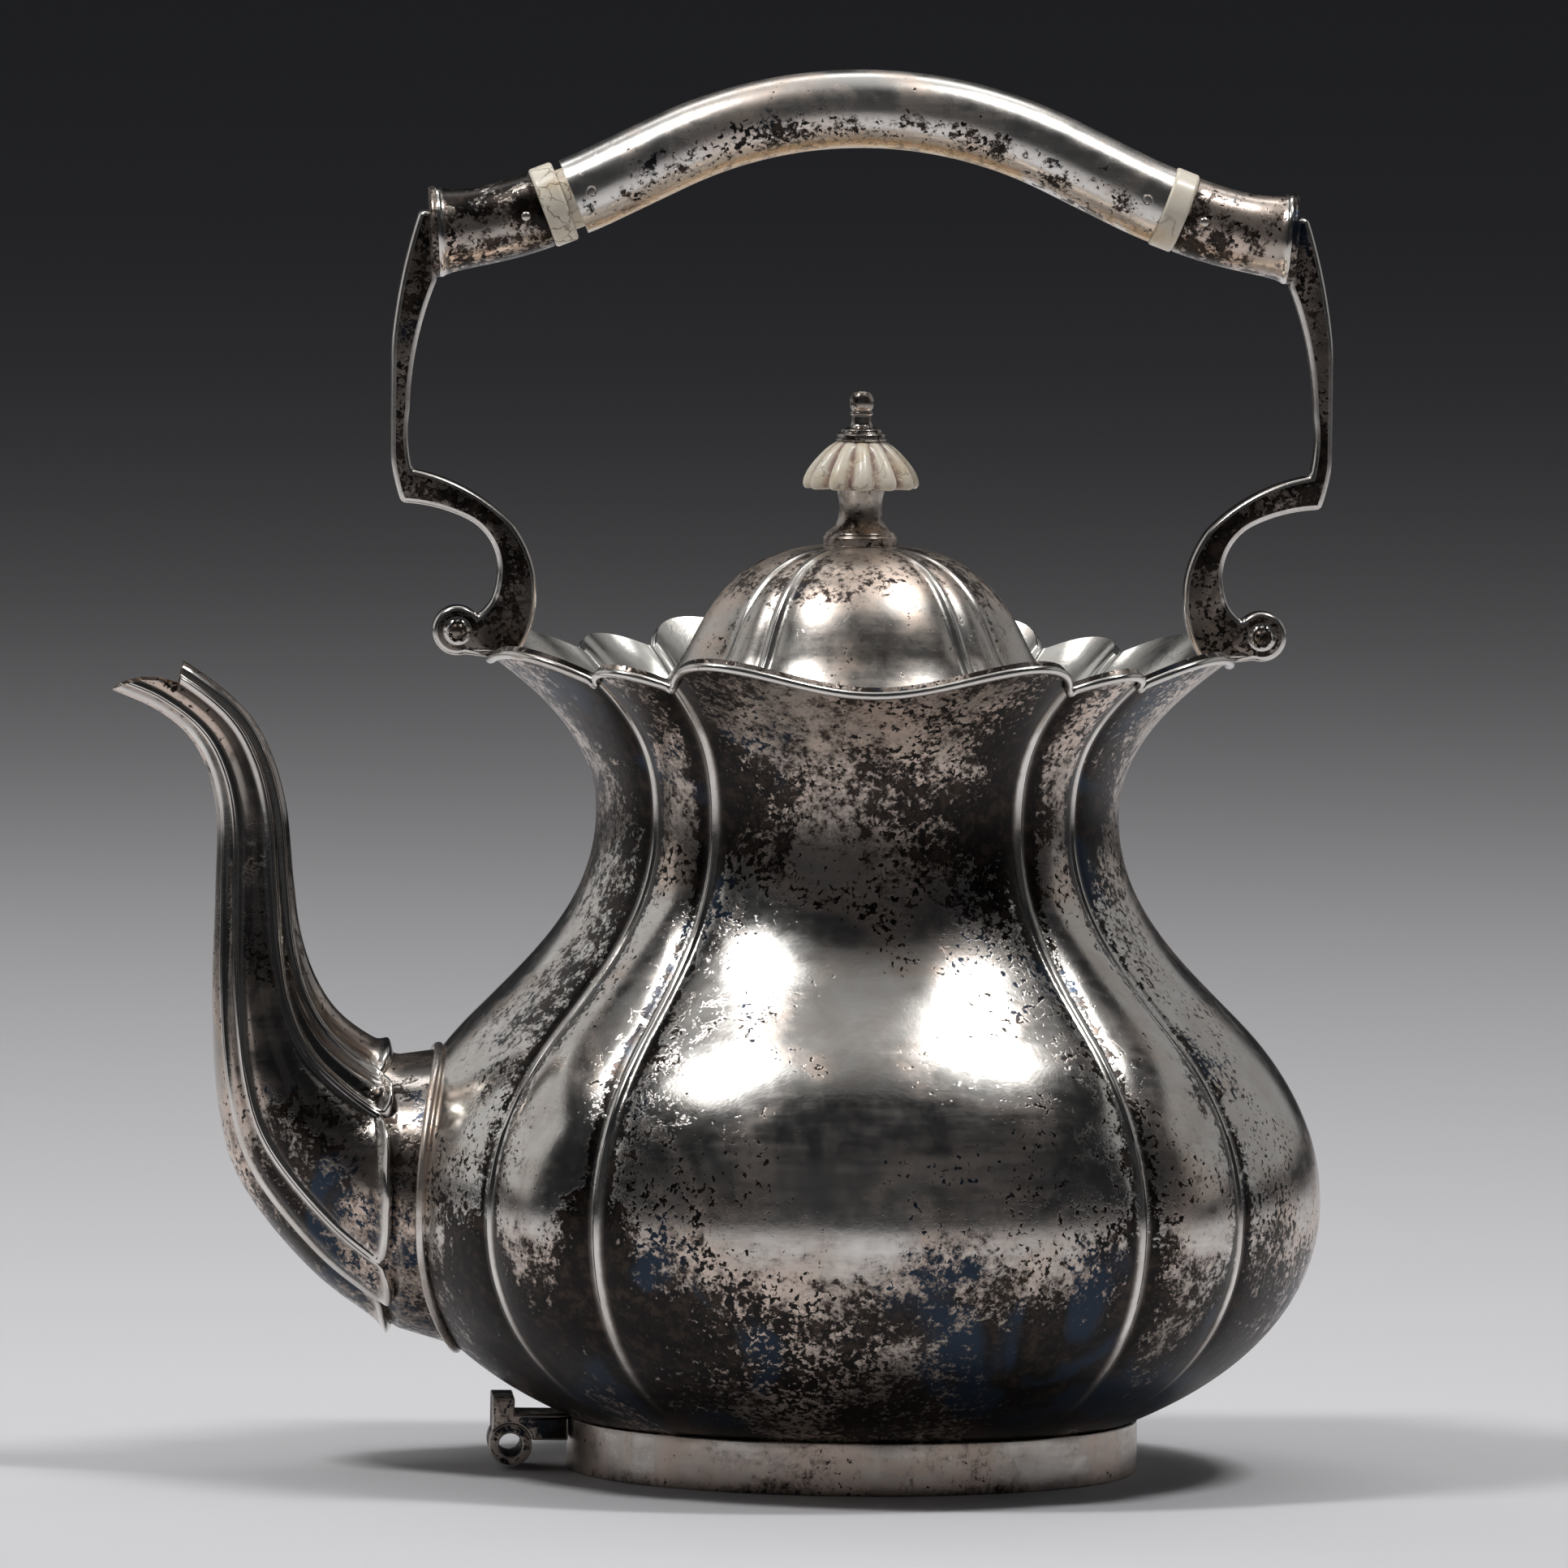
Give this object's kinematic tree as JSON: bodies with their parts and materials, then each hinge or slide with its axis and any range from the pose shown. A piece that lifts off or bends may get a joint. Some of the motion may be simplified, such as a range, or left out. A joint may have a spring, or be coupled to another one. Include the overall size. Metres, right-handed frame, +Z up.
{
  "type": "tea kettle",
  "caption": "Lobed silver tea kettle with scalloped collar, fluted swan-neck spout, lift-off domed lid, fixed overhead handle with ivory insulators and a stand hinge lug.",
  "frame": {"origin": "centre of the foot's underside", "axes": "+Z up, spout towards -X, the side seen in the picture towards -Y"},
  "size_m": [0.2409, 0.1852, 0.2776],
  "materials": {
    "vessel_silver": "worn polish with dark blotched tarnish",
    "inner_silver": "dull tarnished silver",
    "wire_silver": "rubbed bright",
    "foot_silver": "satin with warm tarnish",
    "spout_silver": "dark tarnish in the flutes, bright ridges",
    "lug_silver": "dull brown tarnish",
    "lid_silver": "worn polish with speckled tarnish",
    "knob_silver": "dark tarnish",
    "arm_silver": "blackened faces with bright edges",
    "ferrule_silver": "blackened",
    "grip_silver": "polished on top, pitted black below",
    "pin_silver": "rubbed bright",
    "ivory": "polished, yellowed and cracked"
  },
  "bodies": {
    "kettle": {"body_shell": "vessel_silver", "rim_wire": "wire_silver", "foot_ring": "foot_silver", "base_plate": "inner_silver", "neck_deck": "inner_silver", "spout_shell": "spout_silver", "spout_collar": "spout_silver", "spout_bead": "wire_silver", "lug_bracket": "lug_silver", "lug_barrel": "lug_silver", "handle_arm_left": "arm_silver", "handle_arm_right": "arm_silver", "ferrule_disc_left": "arm_silver", "ferrule_disc_right": "arm_silver", "ferrule_left": "ferrule_silver", "ferrule_right": "ferrule_silver", "insulator_left": "ivory", "insulator_right": "ivory", "handle_grip": "grip_silver", "ferrule_pin_left": "pin_silver", "ferrule_pin_right": "pin_silver", "grip_pin_left": "pin_silver", "grip_pin_right": "pin_silver"},
    "lid": {"lid_dome": "lid_silver", "lid_bezel": "inner_silver", "knob_stem": "knob_silver", "knob_cap": "ivory", "knob_finial": "knob_silver", "knob_stud": "inner_silver", "knob_nut": "inner_silver"}
  },
  "joints": [
    {"name": "lid_lift", "type": "slide", "parent": "kettle", "child": "lid", "axis": [0, 0, 1], "range_m": [0, 0.045]}
  ]
}
